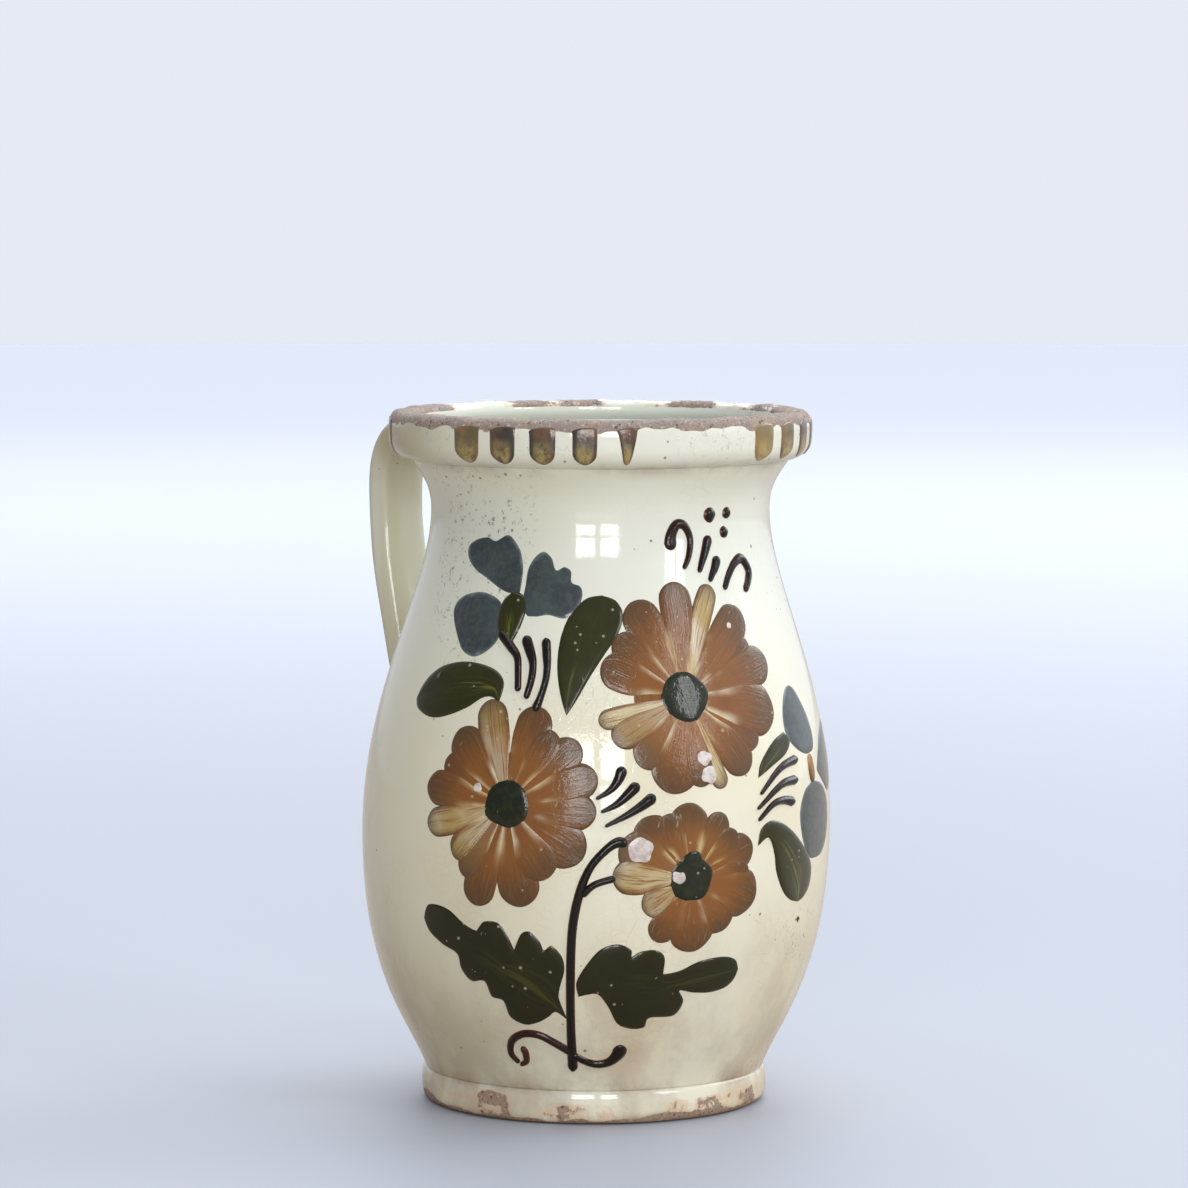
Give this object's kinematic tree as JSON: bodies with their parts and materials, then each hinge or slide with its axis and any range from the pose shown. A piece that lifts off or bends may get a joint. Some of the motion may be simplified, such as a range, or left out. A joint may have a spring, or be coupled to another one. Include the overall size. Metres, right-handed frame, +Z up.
{
  "type": "ceramic jug",
  "caption": "Round-mouthed glazed earthenware jug with a strap handle, a thick rim band, a foot ring and raised painted flowers; holds and pours liquids.",
  "frame": {"origin": "centre of the flat base, where the jug's axis meets the surface that it stands on", "axes": "+Z up along the jug's axis to the mouth; +Y from the axis towards the handle; the painted face is centred 40 degrees from -X towards -Y"},
  "size_m": [0.1433, 0.1605, 0.21],
  "materials": {
    "ivory_glaze": "glossy crazed ivory glaze over pink clay, worn through at the foot and rim",
    "ochre_petals": "glossy ochre-brown brushed slip under glaze",
    "olive_paint": "glossy dark olive green under glaze",
    "slate_petals": "glossy blue-grey wash under glaze, mottled",
    "umber_slip": "glossy near-black trailed slip, raised",
    "rim_brown": "glossy brown brushed strokes with golden middles"
  },
  "bodies": {
    "root": {"floor_disc": "ivory_glaze", "foot_ring": "ivory_glaze", "jug_wall": "ivory_glaze", "rim_band": "ivory_glaze", "handle_strap": "ivory_glaze", "handle_upper_joint": "ivory_glaze", "handle_lower_joint": "ivory_glaze", "rosette_upper_petals": "ochre_petals", "rosette_upper_eye": "olive_paint", "rosette_left_petals": "ochre_petals", "rosette_left_eye": "olive_paint", "rosette_lower_petals": "ochre_petals", "rosette_lower_eye": "olive_paint", "bluet_left_petals": "slate_petals", "bluet_left_bud": "olive_paint", "bluet_right_petals": "slate_petals", "bluet_right_eye": "ochre_petals", "leaf_bean_left": "olive_paint", "leaf_teardrop": "olive_paint", "leaf_sliver_right": "olive_paint", "leaf_bean_right": "olive_paint", "leaf_toothed_left": "olive_paint", "leaf_toothed_right": "olive_paint", "trailed_stem": "umber_slip", "trailed_scroll": "umber_slip", "trailed_tendrils_left": "umber_slip", "trailed_commas_mid": "umber_slip", "trailed_commas_right": "umber_slip", "trailed_crest_commas": "umber_slip", "trailed_crest_dots": "umber_slip", "rim_strokes": "rim_brown"}
  },
  "joints": []
}
